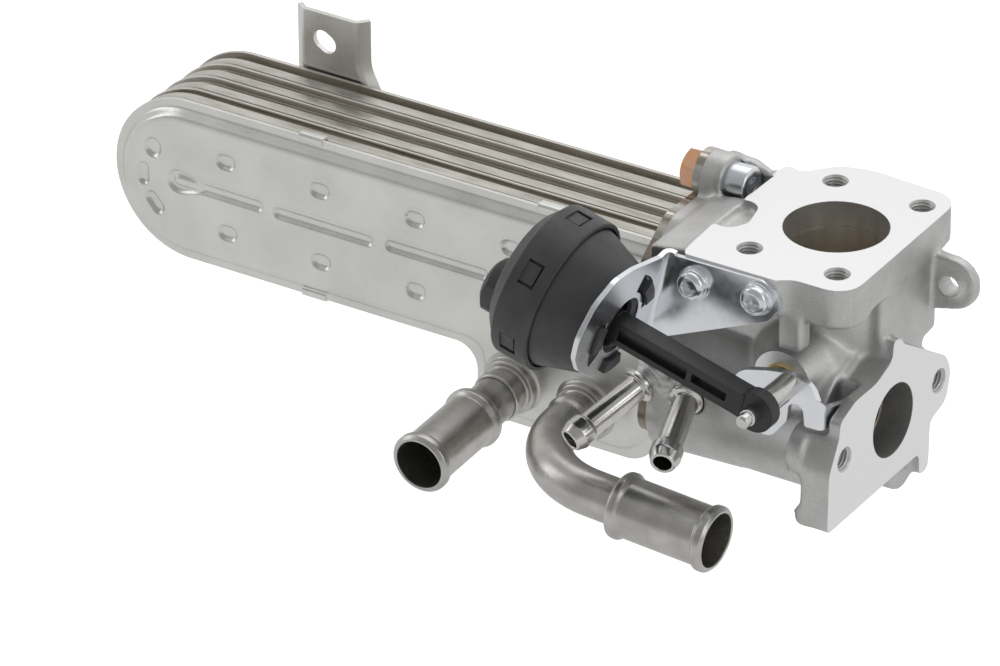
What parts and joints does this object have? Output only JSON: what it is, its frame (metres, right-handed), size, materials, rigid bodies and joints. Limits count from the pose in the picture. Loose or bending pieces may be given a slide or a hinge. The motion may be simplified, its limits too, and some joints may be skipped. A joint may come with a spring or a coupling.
{
  "type": "egr cooler",
  "caption": "Flat brazed plate cooler for recirculated exhaust gas with a cast bypass flap housing, coolant pipes, and a vacuum actuator whose rod turns the flap's lever.",
  "frame": {"origin": "centre of the upper port's bore on its machined face", "axes": "+Z out of the upper port, +X out of the two-bolt port, +Y to the back of the cooler"},
  "size_m": [0.3337, 0.1467, 0.1244],
  "materials": {
    "cast aluminium": "sand cast with machined faces",
    "stainless sheet": "satin, furnace brazed",
    "stainless tube": "satin",
    "zinc plated sheet": "bright zinc plating",
    "black plastic": "matte moulded",
    "bright steel": "polished",
    "yellow zinc": "yellow passivated zinc",
    "brass": "turned",
    "rubber": "moulded",
    "spring steel": "drawn wire"
  },
  "bodies": {
    "cooler and housing": {"flap_housing": "cast aluminium", "cooler_front_plate": "stainless sheet", "cooler_back_plate": "stainless sheet", "cooler_shell_1": "stainless sheet", "cooler_shell_2": "stainless sheet", "cooler_shell_3": "stainless sheet", "cooler_shell_4": "stainless sheet", "gas_fins": "stainless sheet", "rear_tab_bracket": "stainless sheet", "cooler_flange": "stainless sheet", "cooler_gasket": "stainless sheet", "straight_coolant_pipe": "stainless tube", "elbow_coolant_pipe": "stainless tube", "straight_pipe_collar": "stainless tube", "elbow_pipe_collar": "stainless tube", "actuator_bracket": "zinc plated sheet", "bracket_screws": "zinc plated sheet", "flange_screws": "zinc plated sheet", "actuator_can": "black plastic", "actuator_cap": "black plastic", "left_coolant_nipple": "bright steel", "right_coolant_nipple": "bright steel", "shaft_bush_rear": "bright steel", "flange_nuts": "yellow zinc", "shaft_bush_front": "brass", "diaphragm": "rubber", "return_spring": "spring steel"},
    "flap and lever": {"lever": "zinc plated sheet", "lever_pin": "bright steel", "flap_shaft": "bright steel", "flap_disc": "bright steel", "flap_screws": "bright steel"},
    "actuator rod": {"actuator_rod": "black plastic", "diaphragm_plate": "zinc plated sheet"}
  },
  "joints": [
    {"name": "flap_turn", "type": "hinge", "parent": "cooler and housing", "child": "flap and lever", "pos_m": [0, 0, -0.043], "axis": [0, -1, 0], "range_deg": [0, 50], "stiffness_Nm_per_rad": 0.3, "springref_deg": -34.38, "deforming": ["return_spring", "diaphragm"]},
    {"name": "rod_swing", "type": "hinge", "parent": "flap and lever", "child": "actuator rod", "pos_m": [0.011, -0.067, -0.0343], "axis": [0, -1, 0], "range_deg": [-48, 0]}
  ],
  "couplings": [
    {"joint": "rod_swing", "follows": "flap_turn", "ratio": -0.956}
  ]
}
